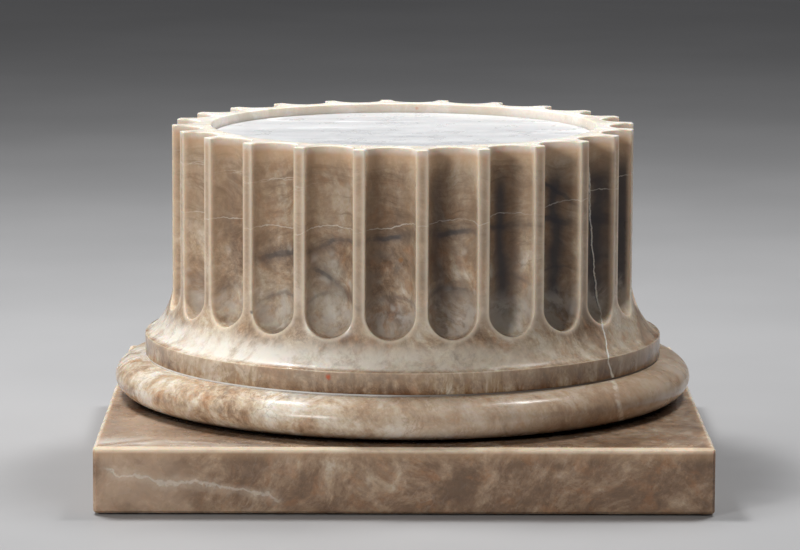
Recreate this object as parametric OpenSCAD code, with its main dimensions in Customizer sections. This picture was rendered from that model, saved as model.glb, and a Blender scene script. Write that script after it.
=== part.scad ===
// A low stone font: square plinth, torus, fluted drum, inset marble lid and a lined bowl with a drain.
// Millimetres, +Z up, origin at the middle of the underside of the pads.

/* [Plinth] */
// Width of the square plinth
plinth_w = 610; // [608:1:660]
// Height of the plinth slab
plinth_h = 66; // [56:0.5:90]
// Chamfer on the plinth's edges
plinth_chamfer = 2.5; // [1:0.5:5]
// Thickness of the cork pads under the plinth
pad_h = 2; // [1:0.5:5]

/* [Torus] */
// Outer radius of the torus
torus_r = 301; // [292:0.5:303]
// Height of the torus
torus_h = 42.6; // [38:0.2:56]
// Thickness of the mortar bed under the torus
lower_bed_t = 1.8; // [1:0.1:4]
// Thickness of the white putty bed over the torus
upper_bed_t = 1.7; // [1:0.1:4]

/* [Drum] */
// Height of the drum, from its bed to its rim
drum_h = 239.4; // [236:0.2:280]
// Radius of the shaft at the flat lands
shaft_r = 241; // [238:0.5:246]
// Radius of the fillet band at the foot of the drum
fillet_r = 269.7; // [262:0.1:276]
// Height of the fillet band
fillet_h = 21.8; // [16:0.2:26]
// Height of the concave flare above the fillet
flare_h = 47.4; // [40:0.2:54]
// Roundness of the flare: 1 is straight and 2 is a quarter ellipse
flare_power = 1.576; // [1.3:0.01:2]
// Number of flutes
flute_count = 24; // [22:1:28]
// Share of each flute's pitch that the flute itself takes
flute_share = 0.793; // [0.7:0.001:0.84]
// Turn of the first flute about the axis, in degrees
flute_turn = -3.35; // [-7:0.05:7]
// Height of the foot of the flutes above the bed of the drum
flute_foot = 50; // [44:0.5:60]

/* [Lid] */
// Radius of the recess in the rim
recess_r = 200.2; // [196:0.1:203]
// Depth of the lid's top below the rim
lid_drop = 9.7; // [6:0.1:12]
// Thickness of the lid
lid_t = 20; // [16:0.5:24]
// Gap round the lid
lid_gap = 1; // [0.6:0.1:2]
// Radius of the finger notch in the front edge of the lid
notch_r = 26; // [24:0.5:30]

/* [Bowl] */
// Radius of the inside of the bowl liner
bowl_r = 174; // [165:0.5:175]
// Depth of the bowl below the liner's flange
bowl_depth = 128; // [120:0.5:130]
// Radius of the bend between the bowl's wall and floor
bowl_bend = 58; // [50:0.5:64]
// Thickness of the liner's metal
liner_t = 2; // [1.5:0.1:2.5]

/* [Drain] */
// Radius of the drain's bore in the stone
drain_bore_r = 32; // [31:0.5:36]
// Outer radius of the tailpiece
tail_r = 19.05; // [18.5:0.05:19.2]
// Radius of the outlet socket in the tailpiece's lower end
outlet_r = 19.2; // [18:0.05:19.6]
// Depth of the outlet socket
outlet_depth = 30; // [26:0.5:32]
// Radius of the knob on the stopper
knob_r = 12; // [9:0.5:14]

/* [Hidden] */
$fn = 96;
eps = 0.5;

// Heights of the stones
plinth_z = pad_h;
plinth_top = plinth_z + plinth_h;
torus_z = plinth_top + lower_bed_t;
torus_top = torus_z + torus_h;
drum_z = torus_top + upper_bed_t;
fillet_top = drum_z + fillet_h;
rim_z = drum_z + drum_h;

// Pads and beds
pad_r = 28;
pad_inset = 46;
bed_hole_r = 120;
lower_bed_r = 256;
upper_bed_inset = 0.8;

// Dowels between the stones
dowel_r = 6;
dowel_play = 0.5;
dowel_ring_r = 190;
dowel_count = 4;
lower_dowel_depth = 26;
lower_dowel_rise = 24;
upper_dowel_depth = 26;
upper_dowel_rise = 34;

// Flare and flutes
flare_out = fillet_r - shaft_r;
flare_steps = 12;
torus_steps = 24;
flute_half_angle = 180 / flute_count * flute_share;
flute_r = shaft_r * sin(flute_half_angle);
flute_ring_r = shaft_r * cos(flute_half_angle);
flute_end_z = drum_z + flute_foot + flute_r;

// Lid and the ledge that carries it
lid_r = recess_r - lid_gap;
lid_top = rim_z - lid_drop;
lid_z = lid_top - lid_t;
lid_edge = 1.5;
cushion_t = 1.8;
bedding_t = 1.5;
flange_top = lid_z - cushion_t;
flange_z = flange_top - liner_t;
ledge_z = flange_z - bedding_t;
flange_r = recess_r - 3.2;
cushion_in_r = bowl_r + 4;

// Bowl and the cavity in the stone that holds it
bowl_floor = flange_top - bowl_depth;
bowl_fall = 3;
floor_seat_r = 42;
liner_r = bowl_r + liner_t;
liner_under = bowl_floor - liner_t;
cavity_gap = 1.5;
cavity_r = liner_r + cavity_gap;
cavity_bend = bowl_bend + liner_t + cavity_gap;
cavity_floor = liner_under - cavity_gap;
nut_bore_r = 41;
bend_steps = 10;

// Drain fitting, from the top down
body_r = 23.8;
thread_play = 0.1;
floor_hole_r = 24.4;
gasket_r = 36;
upper_gasket_t = 1.5;
drain_flange_r = 38;
drain_flange_t = 4;
drain_flange_z = bowl_floor + upper_gasket_t;
seat_z = drain_flange_z + drain_flange_t;
funnel_r = 25;
funnel_drop = 6.5;
grate_bore_r = 20;
grate_r = 19.7;
grate_t = 3;
grate_drop = 13.5;
grate_z = seat_z - grate_drop;
waste_r = 17;
bar_seat_r = 18;
bar_w = 6;
bar_drop = 2;
bar_h = 6;
bar_z = grate_z - bar_drop - bar_h;
throat_top = bar_z - 1.5;
grate_hole_r = 2.2;
grate_rings = 2;
lower_gasket_t = 3.5;
washer_t = 1.5;
nut_t = 10;
nut_z = liner_under - lower_gasket_t - washer_t - nut_t;
nut_corner_r = 34;
body_len = 59.5;
body_end = seat_z - body_len;
tail_socket_depth = 25;
tail_stop_z = body_end + tail_socket_depth;
tail_top = tail_stop_z - 3;
tail_socket_r = tail_r + 0.25;
slip_washer_t = 3.5;
slip_nut_lip = 4.5;
slip_nut_z = body_end - slip_washer_t - slip_nut_lip;
slip_nut_h = 22;
slip_nut_corner_r = 29;
screw_head_r = 4.5;
screw_head_t = 2;
screw_r = 2.4;
screw_play = 0.1;

// Tailpiece and its grommet
tail_wall = 1.5;
tail_end = pad_h + 2;
outlet_wall = 2.3;
socket_top = tail_end + outlet_depth;
grommet_z = socket_top + 6;
grommet_h = 12;
grommet_play = 0.1;

// Stopper
cap_r = 31;
cap_t = 2.5;
seal_play = 0.35;
seal_h = 5.7;
stem_r = 3;
stem_head_r = 6;
stem_head_t = 1.8;
stem_rise = 10;
stem_play = 0.05;
knob_neck_r = 6;
knob_neck_h = 8;
knob_steps = 14;
knob_h = 20;

// Points of the torus's rounded nose, from its lower edge to its upper edge
function torus_nose() = [for (i = [0:torus_steps]) let(a = -90 + 180 * i / torus_steps)
    [fillet_r + (torus_r - fillet_r) * cos(a), torus_z + torus_h / 2 * (1 + sin(a))]];

// Points of the concave flare, from the fillet up to the shaft
function flare_points() = [for (i = [0:flare_steps]) let(a = 90 * i / flare_steps, p = 2 / flare_power)
    [shaft_r + flare_out * (1 - pow(sin(a), p)), fillet_top + flare_h * (1 - pow(cos(a), p))]];

// Points of a bowl's section, from the drain hole out and up to a given height
function bowl_points(side_r, bend, floor_z, top_z) = concat(
    [[0, floor_z], [floor_seat_r, floor_z]],
    [for (i = [0:bend_steps]) let(a = -90 + 90 * i / bend_steps)
        [side_r - bend + bend * cos(a), floor_z + bowl_fall + bend * (1 + sin(a))]],
    [[side_r, top_z], [0, top_z]]);

// Points of the stopper's knob, from the neck up to the crown
function knob_points(z) = concat(
    [[0, z], [knob_neck_r, z], [knob_neck_r - 1.5, z + knob_neck_h / 2], [knob_neck_r, z + knob_neck_h]],
    [for (i = [1:knob_steps]) let(a = -70 + 160 * i / knob_steps, half = (knob_h - knob_neck_h) / 2)
        [max(0, knob_r * cos(a)), z + knob_neck_h + half + half * sin(a)]]);

// A flat ring between two radii
module ring(outer_r, inner_r, z, h) {
    translate([0, 0, z]) difference() {
        cylinder(r = outer_r, h = h);
        translate([0, 0, -eps]) cylinder(r = inner_r, h = h + 2 * eps);
    }
}

// A bed between two stones: a flat ring that the dowels pass through
module bed(outer_r, z, h, first_angle) {
    difference() {
        ring(outer_r, bed_hole_r, z, h);
        pin_ring(dowel_r + dowel_play, z - eps, h + 2 * eps, first_angle);
    }
}

// A ring of upright pins or sockets
module pin_ring(r, z, h, first_angle) {
    for (i = [0:dowel_count - 1])
        rotate([0, 0, first_angle + 360 / dowel_count * i]) translate([dowel_ring_r, 0, z])
            cylinder(r = r, h = h, $fn = 32);
}

// The drain's bore, cut up from below a stone
module drain_bore(top) {
    translate([0, 0, -eps]) cylinder(r = drain_bore_r, h = top + eps);
}

// An octagonal outline: a square with its corners cut, for the chamfered plinth
module chamfered_outline(w, h) {
    c = plinth_chamfer;
    polygon([[-w / 2 + c, 0], [w / 2 - c, 0], [w / 2, c], [w / 2, h - c], [w / 2 - c, h], [-w / 2 + c, h],
        [-w / 2, h - c], [-w / 2, c]]);
}

module plinth_block() {
    w = plinth_w;
    intersection() {
        translate([0, w / 2, 0]) rotate([90, 0, 0]) linear_extrude(w) chamfered_outline(w, plinth_h);
        translate([-w / 2, 0, 0]) rotate([90, 0, 90]) linear_extrude(w) chamfered_outline(w, plinth_h);
        linear_extrude(plinth_h) translate([0, -w / 2]) chamfered_outline(w, w);
    }
}

module plinth() {
    color("tan") difference() {
        translate([0, 0, plinth_z]) plinth_block();
        drain_bore(plinth_top + eps);
        pin_ring(dowel_r + dowel_play, plinth_top - lower_dowel_depth, lower_dowel_depth + eps, 45);
    }
}

module corner_pads() {
    reach = plinth_w / 2 - pad_inset;
    color("peru") for (x = [-reach, reach], y = [-reach, reach])
        translate([x, y, 0]) cylinder(r = pad_r, h = pad_h);
}

module lower_bed() {
    color("dimgray") bed(lower_bed_r, plinth_top, lower_bed_t, 45);
}

module lower_dowels() {
    color("silver")
        pin_ring(dowel_r, plinth_top - lower_dowel_depth, lower_dowel_depth + lower_dowel_rise, 45);
}

module torus_base() {
    color("burlywood") difference() {
        rotate_extrude($fn = 120) polygon(concat([[0, torus_z]], torus_nose(), [[0, torus_top]]));
        drain_bore(torus_top + eps);
        pin_ring(dowel_r + dowel_play, torus_z - eps, lower_dowel_rise - lower_bed_t + 2 + eps, 45);
        pin_ring(dowel_r + dowel_play, torus_top - upper_dowel_depth, upper_dowel_depth + eps, 0);
    }
}

module upper_bed() {
    color("white") bed(fillet_r - upper_bed_inset, torus_top, upper_bed_t, 0);
}

module upper_dowels() {
    color("silver")
        pin_ring(dowel_r, torus_top - upper_dowel_depth, upper_dowel_depth + upper_dowel_rise, 0);
}

// One flute: a round channel with a ball end at its foot
module flute() {
    translate([flute_ring_r, 0, flute_end_z]) {
        cylinder(r = flute_r, h = rim_z - flute_end_z + eps, $fn = 64);
        sphere(r = flute_r, $fn = 64);
    }
}

module fluted_drum() {
    color("burlywood") difference() {
        rotate_extrude($fn = 120) polygon(concat(
            [[0, drum_z], [fillet_r, drum_z]], flare_points(), [[shaft_r, rim_z], [0, rim_z]]));
        for (i = [0:flute_count - 1]) rotate([0, 0, flute_turn + 360 / flute_count * i]) flute();
        translate([0, 0, ledge_z]) cylinder(r = recess_r, h = rim_z - ledge_z + eps, $fn = 120);
        rotate_extrude() polygon(bowl_points(cavity_r, cavity_bend, cavity_floor, ledge_z + eps));
        translate([0, 0, drum_z - eps]) cylinder(r = nut_bore_r, h = cavity_floor - drum_z + 2 * eps);
        pin_ring(dowel_r + dowel_play, drum_z - eps, upper_dowel_rise - upper_bed_t + 2 + eps, 0);
    }
}

module lid() {
    color("gainsboro") difference() {
        rotate_extrude($fn = 120) polygon([[0, lid_z], [lid_r - lid_edge, lid_z], [lid_r, lid_z + lid_edge],
            [lid_r, lid_top - lid_edge], [lid_r - lid_edge, lid_top], [0, lid_top]]);
        translate([0, -lid_r, lid_z - eps]) cylinder(r = notch_r, h = lid_t + 2 * eps);
    }
}

module lid_cushion_ring() {
    color("saddlebrown") ring(flange_r, cushion_in_r, flange_top, cushion_t);
}

module bowl_liner() {
    color("goldenrod") difference() {
        union() {
            rotate_extrude() polygon(bowl_points(liner_r, bowl_bend + liner_t, liner_under, flange_top));
            translate([0, 0, flange_z]) cylinder(r = flange_r, h = liner_t);
        }
        rotate_extrude() polygon(bowl_points(bowl_r, bowl_bend, bowl_floor, flange_top + eps));
        translate([0, 0, liner_under - eps]) cylinder(r = floor_hole_r, h = liner_t + 2 * eps);
    }
}

module liner_bedding_ring() {
    color("dimgray") ring(flange_r - 1, cavity_r + 2, ledge_z, bedding_t);
}

module drain_flange() {
    color("gold") rotate_extrude() polygon([[tail_socket_r, body_end], [body_r, body_end],
        [body_r, drain_flange_z], [drain_flange_r, drain_flange_z], [drain_flange_r, seat_z],
        [funnel_r, seat_z], [grate_bore_r, seat_z - funnel_drop], [grate_bore_r, grate_z],
        [bar_seat_r, grate_z], [bar_seat_r, throat_top], [waste_r, throat_top], [waste_r, tail_stop_z],
        [tail_socket_r, tail_stop_z]]);
}

// The bar brazed across the waste that takes the grate's screw
module grate_crossbar() {
    color("gold") difference() {
        intersection() {
            translate([-bar_seat_r, -bar_w / 2, bar_z]) cube([2 * bar_seat_r, bar_w, bar_h]);
            translate([0, 0, bar_z]) cylinder(r = bar_seat_r - 0.05, h = bar_h);
        }
        translate([0, 0, bar_z - eps]) cylinder(r = screw_r + screw_play, h = bar_h + 2 * eps, $fn = 32);
    }
}

module strainer_grate() {
    color("gold") difference() {
        translate([0, 0, grate_z]) cylinder(r = grate_r, h = grate_t);
        translate([0, 0, grate_z - eps]) cylinder(r = screw_r + screw_play, h = grate_t + 2 * eps, $fn = 32);
        for (ring_no = [1:grate_rings], i = [0:6 * ring_no - 1])
            rotate([0, 0, 60 / ring_no * i]) translate([2 + 6.5 * ring_no, 0, grate_z - eps])
                cylinder(r = grate_hole_r, h = grate_t + 2 * eps, $fn = 32);
    }
}

module grate_screw() {
    head_z = grate_z + grate_t;
    shank = grate_t + bar_drop + bar_h;
    color("khaki") difference() {
        union() {
            translate([0, 0, head_z]) cylinder(r = screw_head_r, h = screw_head_t, $fn = 32);
            translate([0, 0, head_z - shank]) cylinder(r = screw_r, h = shank + eps, $fn = 32);
        }
        translate([-screw_head_r - 1, -0.6, head_z + screw_head_t - 1]) cube([2 * screw_head_r + 2, 1.2, 2]);
    }
}

module upper_drain_gasket() {
    color("black") ring(gasket_r, floor_hole_r, bowl_floor, upper_gasket_t);
}

module lower_drain_gasket() {
    color("black") ring(gasket_r, floor_hole_r, liner_under - lower_gasket_t, lower_gasket_t);
}

module friction_washer() {
    color("ivory") ring(gasket_r - 1, floor_hole_r, liner_under - lower_gasket_t - washer_t, washer_t);
}

module drain_lock_nut() {
    color("gold") translate([0, 0, nut_z]) difference() {
        cylinder(r = nut_corner_r, h = nut_t, $fn = 6);
        translate([0, 0, -eps]) cylinder(r = body_r + thread_play, h = nut_t + 2 * eps);
    }
}

module tailpiece_washer() {
    color("black") ring(body_r - 0.4, tail_r + thread_play, body_end - slip_washer_t, slip_washer_t);
}

module slip_nut() {
    color("gold") translate([0, 0, slip_nut_z]) difference() {
        cylinder(r = slip_nut_corner_r, h = slip_nut_h, $fn = 8);
        translate([0, 0, -eps]) cylinder(r = tail_r + 0.4, h = slip_nut_h + 2 * eps);
        translate([0, 0, slip_nut_lip]) cylinder(r = body_r + thread_play, h = slip_nut_h);
    }
}

module tailpiece() {
    bell_r = outlet_r + outlet_wall;
    in_r = tail_r - tail_wall;
    color("gold") rotate_extrude() polygon([[outlet_r, tail_end], [bell_r, tail_end],
        [bell_r, socket_top + 1], [tail_r, socket_top + 4], [tail_r, tail_top], [in_r, tail_top],
        [in_r, socket_top], [outlet_r, socket_top]]);
}

module outlet_grommet() {
    color("black") ring(drain_bore_r - grommet_play, tail_r + grommet_play, grommet_z, grommet_h);
}

module stopper_cap() {
    color("gold") difference() {
        translate([0, 0, seat_z]) cylinder(r1 = cap_r, r2 = cap_r - 2, h = cap_t);
        translate([0, 0, seat_z - eps]) cylinder(r = stem_r + stem_play, h = cap_t + 2 * eps, $fn = 32);
    }
}

module stopper_seal() {
    top_r = funnel_r - seal_play;
    slope = (funnel_r - grate_bore_r) / funnel_drop;
    color("black") translate([0, 0, seat_z - seal_h]) difference() {
        cylinder(r1 = top_r - slope * seal_h, r2 = top_r, h = seal_h);
        translate([0, 0, -eps]) cylinder(r = stem_r + stem_play, h = seal_h + 2 * eps, $fn = 32);
    }
}

module stopper_stem() {
    seal_z = seat_z - seal_h;
    color("khaki") {
        translate([0, 0, seal_z - stem_head_t]) cylinder(r = stem_head_r, h = stem_head_t, $fn = 32);
        translate([0, 0, seal_z - eps]) cylinder(r = stem_r, h = seal_h + cap_t + stem_rise + eps, $fn = 32);
    }
}

module stopper_knob() {
    knob_z = seat_z + cap_t;
    color("gold") difference() {
        rotate_extrude() polygon(knob_points(knob_z));
        translate([0, 0, knob_z - eps]) cylinder(r = stem_r + stem_play, h = stem_rise + 2 * eps, $fn = 32);
    }
}

plinth();
corner_pads();
lower_bed();
lower_dowels();
torus_base();
upper_bed();
upper_dowels();
fluted_drum();
lid();
lid_cushion_ring();
bowl_liner();
liner_bedding_ring();
drain_flange();
grate_crossbar();
strainer_grate();
grate_screw();
upper_drain_gasket();
lower_drain_gasket();
friction_washer();
drain_lock_nut();
tailpiece_washer();
slip_nut();
tailpiece();
outlet_grommet();
stopper_cap();
stopper_seal();
stopper_stem();
stopper_knob();
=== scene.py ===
"""A low stone font: carved and polished onyx, an inset marble lid, and a brass-lined bowl with its drain."""
import math

import bmesh
import bpy
import numpy as np
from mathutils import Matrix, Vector


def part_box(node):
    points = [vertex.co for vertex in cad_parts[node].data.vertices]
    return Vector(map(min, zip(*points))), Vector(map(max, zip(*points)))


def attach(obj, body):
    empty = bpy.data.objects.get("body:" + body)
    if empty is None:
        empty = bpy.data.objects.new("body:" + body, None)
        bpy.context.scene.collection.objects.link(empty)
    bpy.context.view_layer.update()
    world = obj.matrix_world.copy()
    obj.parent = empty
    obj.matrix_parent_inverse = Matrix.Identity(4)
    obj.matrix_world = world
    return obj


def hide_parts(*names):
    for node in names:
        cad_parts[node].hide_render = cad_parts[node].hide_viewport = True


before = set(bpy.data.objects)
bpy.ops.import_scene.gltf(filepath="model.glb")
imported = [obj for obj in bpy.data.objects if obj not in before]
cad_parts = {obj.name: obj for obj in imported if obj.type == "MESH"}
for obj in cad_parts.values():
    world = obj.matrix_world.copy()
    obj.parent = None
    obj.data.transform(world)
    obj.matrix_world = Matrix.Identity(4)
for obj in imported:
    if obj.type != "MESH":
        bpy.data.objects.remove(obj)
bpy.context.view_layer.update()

MM = 0.001

# ---------------------------------------------------------------- sizes, from the frame where it has them

PLINTH_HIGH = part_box("plinth")[1]
TORUS_LOW, TORUS_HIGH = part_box("torus_base")
DRUM_LOW, DRUM_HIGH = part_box("fluted_drum")
LID_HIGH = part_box("lid")[1]
LINER_LOW, LINER_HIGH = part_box("bowl_liner")
KNOB_LOW, KNOB_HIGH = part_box("stopper_knob")

FILLET_R = DRUM_HIGH.y
FILLET_TOP = DRUM_LOW.z + 21.8 * MM
FLARE_H = 47.4 * MM
FLARE_POWER = 1.576
SHAFT_R = 241 * MM
RIM_Z = DRUM_HIGH.z
BORE_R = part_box("outlet_grommet")[1].x + 0.1 * MM

FLUTES = 24
PITCH = 2 * math.pi / FLUTES
FLUTE_TURN = math.radians(-3.35)
FLUTE_HALF_ANGLE = 0.793 * PITCH / 2
FLUTE_R = SHAFT_R * math.sin(FLUTE_HALF_ANGLE)
FLUTE_RING_R = SHAFT_R * math.cos(FLUTE_HALF_ANGLE)
FLUTE_END_Z = DRUM_LOW.z + 50 * MM + FLUTE_R

RECESS_R = LID_HIGH.x + 1 * MM
LEDGE_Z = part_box("liner_bedding_ring")[0].z
CAVITY_R = 177.5 * MM
CAVITY_BEND = 61.5 * MM
CAVITY_FLOOR = LINER_LOW.z - 1.5 * MM
NUT_BORE_R = 41 * MM

BOWL_R = 174 * MM
BOWL_BEND = 58 * MM
LINER_T = 2 * MM
BOWL_FALL = 3 * MM
FLOOR_SEAT_R = 42 * MM
FLOOR_HOLE_R = 24.4 * MM


# ---------------------------------------------------------------- mesh helpers

def finish_mesh(name, verts, faces, channels=None, merge=None, angle=None):
    """Make an object from points and faces, with optional float channels stored on its points."""
    mesh = bpy.data.meshes.new(name)
    mesh.from_pydata([tuple(v) for v in verts], [], [tuple(f) for f in faces])
    for channel, values in (channels or {}).items():
        mesh.attributes.new(channel, "FLOAT", "POINT").data.foreach_set("value", values)
    work = bmesh.new()
    work.from_mesh(mesh)
    if merge:
        bmesh.ops.remove_doubles(work, verts=work.verts, dist=merge)
    bmesh.ops.dissolve_degenerate(work, edges=work.edges, dist=1e-6)
    bmesh.ops.recalc_face_normals(work, faces=work.faces)
    for face in work.faces:
        face.smooth = True
    if angle is not None:
        for edge in work.edges:
            edge.smooth = len(edge.link_faces) == 2 and edge.calc_face_angle() < angle
    work.to_mesh(mesh)
    work.free()
    piece = bpy.data.objects.new(name, mesh)
    bpy.context.scene.collection.objects.link(piece)
    return piece


def arc(centre_r, centre_z, radius, start, end, steps):
    """Points (r, z) along an arc whose angles, in degrees, run from start to end."""
    angles = np.radians(np.linspace(start, end, steps + 1))
    return [(centre_r + radius * math.cos(a), centre_z + radius * math.sin(a)) for a in angles]


def revolve(name, outline, columns=256):
    """A closed ring-shaped solid from a closed outline of (r, z) points."""
    outline = np.array(outline)
    angles = np.linspace(0, 2 * math.pi, columns, endpoint=False)
    rings = len(outline)
    verts = [(r * math.cos(a), r * math.sin(a), z) for a in angles for r, z in outline]
    faces = [(c * rings + i, c * rings + (i + 1) % rings,
              (c + 1) % columns * rings + (i + 1) % rings, (c + 1) % columns * rings + i)
             for c in range(columns) for i in range(rings)]
    return finish_mesh(name, verts, faces)


def stand_in(piece, node, body="font_body"):
    """The piece shows in place of a CAD node and rides on its body."""
    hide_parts(node)
    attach(piece, body)
    return piece


# ---------------------------------------------------------------- the fluted drum

ARRIS_ROUND = 1.5 * MM
RIM_ROUND = 1.4 * MM
GLOW_REACH = 2.5 * MM
BLADE_STEPS = 12       # from the middle of a flute to its edge
ARRIS_STEPS = 4        # round the edge of a flute
LAND_STEPS = 6         # from the edge to the middle of the land
COLUMNS = BLADE_STEPS + ARRIS_STEPS + LAND_STEPS
END_STEPS = COLUMNS    # round a quarter of a flute's ball end
FLARE_JOIN_Z = FLUTE_END_Z - FLUTE_R - 10 * MM
SHADE_BAND_LEAN = 7.5       # how far the band of smoke and painted shade moves across the flutes for each metre to the right


def outer_radius(z):
    """Radius of the drum's outside at a height, without its flutes."""
    up = min(max((z - FILLET_TOP) / FLARE_H, 0), 1)
    share = (1 - (1 - up) ** FLARE_POWER) ** (1 / FLARE_POWER)
    return SHAFT_R + (FILLET_R - SHAFT_R) * (1 - share)


def on_outside(y, z):
    """The point of the drum's outside at an offset y from the flute's middle plane and a height z."""
    return np.array([math.sqrt(outer_radius(z) ** 2 - y * y), y, z])


def flute_section(across, down, base_z, target_angle, target_z):
    """One line of points from the middle of a flute, over its rounded edge, to the middle of the land.

    It leaves the flute's middle at base_z in the direction (across, down) and ends on the drum's outside
    at target_angle and target_z. Each point has x, y, z, its glow near the edge, and its depth share.
    """
    corner = on_outside(FLUTE_R * across, base_z - FLUTE_R * down)
    beyond = on_outside((FLUTE_R + 0.1 * MM) * across, base_z - (FLUTE_R + 0.1 * MM) * down)
    into_stone = np.array([-1.0, 0, 0])
    along_face = (beyond - corner) / np.linalg.norm(beyond - corner)
    half = 0.5 * math.acos(float(into_stone @ along_face))
    cut = ARRIS_ROUND / math.tan(half)
    middle = into_stone + along_face
    centre = corner + middle / np.linalg.norm(middle) * ARRIS_ROUND / math.sin(half)

    quarter = FLUTE_R * math.pi / 2
    wall = max(0, corner[0] - FLUTE_RING_R)
    length = quarter + wall - cut
    points = []
    for k in range(BLADE_STEPS + 1):
        s = length * math.sin(k / BLADE_STEPS * math.pi / 2) ** 0.9
        bend = min(s / FLUTE_R, math.pi / 2)
        q = FLUTE_R * math.sin(bend)
        x = FLUTE_RING_R - FLUTE_R * math.cos(bend) + max(0, s - quarter)
        glow = math.exp(-((length - s) / GLOW_REACH) ** 2)
        points.append((x, q * across, base_z - q * down, glow, math.cos(bend)))

    start = np.array(points[-1][:3]) - centre
    end = corner + along_face * cut - centre
    for k in range(1, ARRIS_STEPS + 1):
        t = k / ARRIS_STEPS
        spoke = start * (1 - t) + end * t
        spoke *= ((1 - t) * np.linalg.norm(start) + t * np.linalg.norm(end)) / np.linalg.norm(spoke)
        points.append((*(centre + spoke), 1.0, 0.0))

    from_angle = math.atan2(points[-1][1], points[-1][0])
    from_z = points[-1][2]
    for k in range(1, LAND_STEPS + 1):
        t = (k / LAND_STEPS) ** 1.5
        angle = from_angle + (target_angle - from_angle) * t
        z = from_z + (target_z - from_z) * t
        r = outer_radius(z)
        here = np.array([r * math.cos(angle), r * math.sin(angle), z])
        away = np.linalg.norm(here - np.array(points[BLADE_STEPS + ARRIS_STEPS][:3]))
        points.append((*here, math.exp(-(away / GLOW_REACH) ** 2), 0.0))
    return np.array(points)


def straight_rows():
    """The upright part of half a flute and half a land, up to and over the rim's rounded edge."""
    plain = flute_section(1, 0, FLUTE_END_Z, PITCH / 2, FLUTE_END_Z)
    tangent = np.gradient(plain[:, :2], axis=0)
    normal = np.stack([tangent[:, 1], -tangent[:, 0]], 1)
    normal[0] = (1, 0)
    normal[-1] = (math.cos(PITCH / 2), math.sin(PITCH / 2))
    normal /= np.linalg.norm(normal, axis=1)[:, None]
    rows = []
    for z in np.linspace(FLUTE_END_Z, RIM_Z - 8 * MM, 9):
        row = plain.copy()
        row[:, 2] = z
        rows.append(row)
    for z, inset in [(RIM_Z - 4 * MM, 0)] + arc_inset(RIM_ROUND, RIM_Z):
        row = plain.copy()
        row[:, :2] -= normal * inset
        row[:, 2] = z
        near = math.exp(-((RIM_Z - z) / GLOW_REACH) ** 2)
        row[:, 3] = np.maximum(row[:, 3], near)
        rows.append(row)
    return np.array(rows)


def arc_inset(radius, top, steps=4):
    """(z, inset) steps round an upper edge."""
    turns = np.linspace(0, math.pi / 2, steps + 1)
    return [(top - radius + radius * math.sin(t), radius * (1 - math.cos(t))) for t in turns]


def end_rows():
    """The ball end of half a flute, with the flare round it, as rays from the middle of the ball."""
    rows = []
    for k in range(END_STEPS + 1):
        turn = math.pi / 2 * k / END_STEPS
        share = 2 * k / END_STEPS
        target_angle = PITCH / 2 * min(1, 2 - share)
        target_z = FLUTE_END_Z + (FLARE_JOIN_Z - FLUTE_END_Z) * min(1, share)
        rows.append(flute_section(math.cos(turn), math.sin(turn), FLUTE_END_Z, target_angle, target_z))
    return np.array(rows)


def rim_rows(outline):
    """The flat rim, from the fluted outline in to the recess's rounded edge."""
    columns = np.linspace(0, PITCH / 2, COLUMNS + 1)
    inner_r = RECESS_R + RIM_ROUND
    inner = np.stack([inner_r * np.cos(columns), inner_r * np.sin(columns), np.full(COLUMNS + 1, RIM_Z),
                      np.full(COLUMNS + 1, 0.9), np.zeros(COLUMNS + 1)], 1)
    start = outline.copy()
    start[:, 3:] = (1, 0)
    rows = []
    for t in np.linspace(0, 1, 6):
        row = start * (1 - t) + inner * t
        row[:, 3] = 0.9 + 0.1 * abs(2 * t - 1)
        rows.append(row)
    return np.array(rows)


def turned_rows(outline, columns):
    """Rows of points for (r, z, glow) steps, over half a flute's pitch."""
    angles = np.linspace(0, PITCH / 2, columns + 1)
    return np.array([np.stack([r * np.cos(angles), r * np.sin(angles), np.full(columns + 1, z),
                               np.full(columns + 1, glow), np.zeros(columns + 1)], 1)
                     for r, z, glow in outline])


def drum_inside():
    """(r, z, glow) steps down the recess, the ledge, the bowl's cavity and the drain's bore."""
    edge = [(RECESS_R + inset, z, 0.9) for z, inset in reversed(arc_inset(RIM_ROUND, RIM_Z))]
    wall = [(RECESS_R, z, 0.5) for z in np.linspace(RIM_Z - 4 * MM, LEDGE_Z, 5)]
    ledge = [(CAVITY_R, LEDGE_Z, 0)]
    bend_z = CAVITY_FLOOR + BOWL_FALL + CAVITY_BEND
    bend = [(r, z, 0) for r, z in arc(CAVITY_R - CAVITY_BEND, bend_z, CAVITY_BEND, 0, -90, 8)]
    floor = [(FLOOR_SEAT_R, CAVITY_FLOOR, 0), (NUT_BORE_R, CAVITY_FLOOR, 0), (NUT_BORE_R, DRUM_LOW.z, 0)]
    return edge + wall + ledge + bend + floor


def drum_outside():
    """(r, z, glow) steps from the join under the flutes, down the flare and the fillet to the bed."""
    steps = [(outer_radius(z), z, 0) for z in
             FILLET_TOP + (FLARE_JOIN_Z - FILLET_TOP) * np.linspace(1, 0, 15)[:-1] ** 2]
    edge = 0.9 * MM
    top = [(FILLET_R - edge + r, FILLET_TOP - edge + z, 0.55) for r, z in arc(0, 0, edge, 90, 0, 4)]
    foot = [(FILLET_R - edge + r, DRUM_LOW.z + edge + z, 0) for r, z in arc(0, 0, edge, 0, -90, 3)]
    return steps + top + foot


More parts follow.
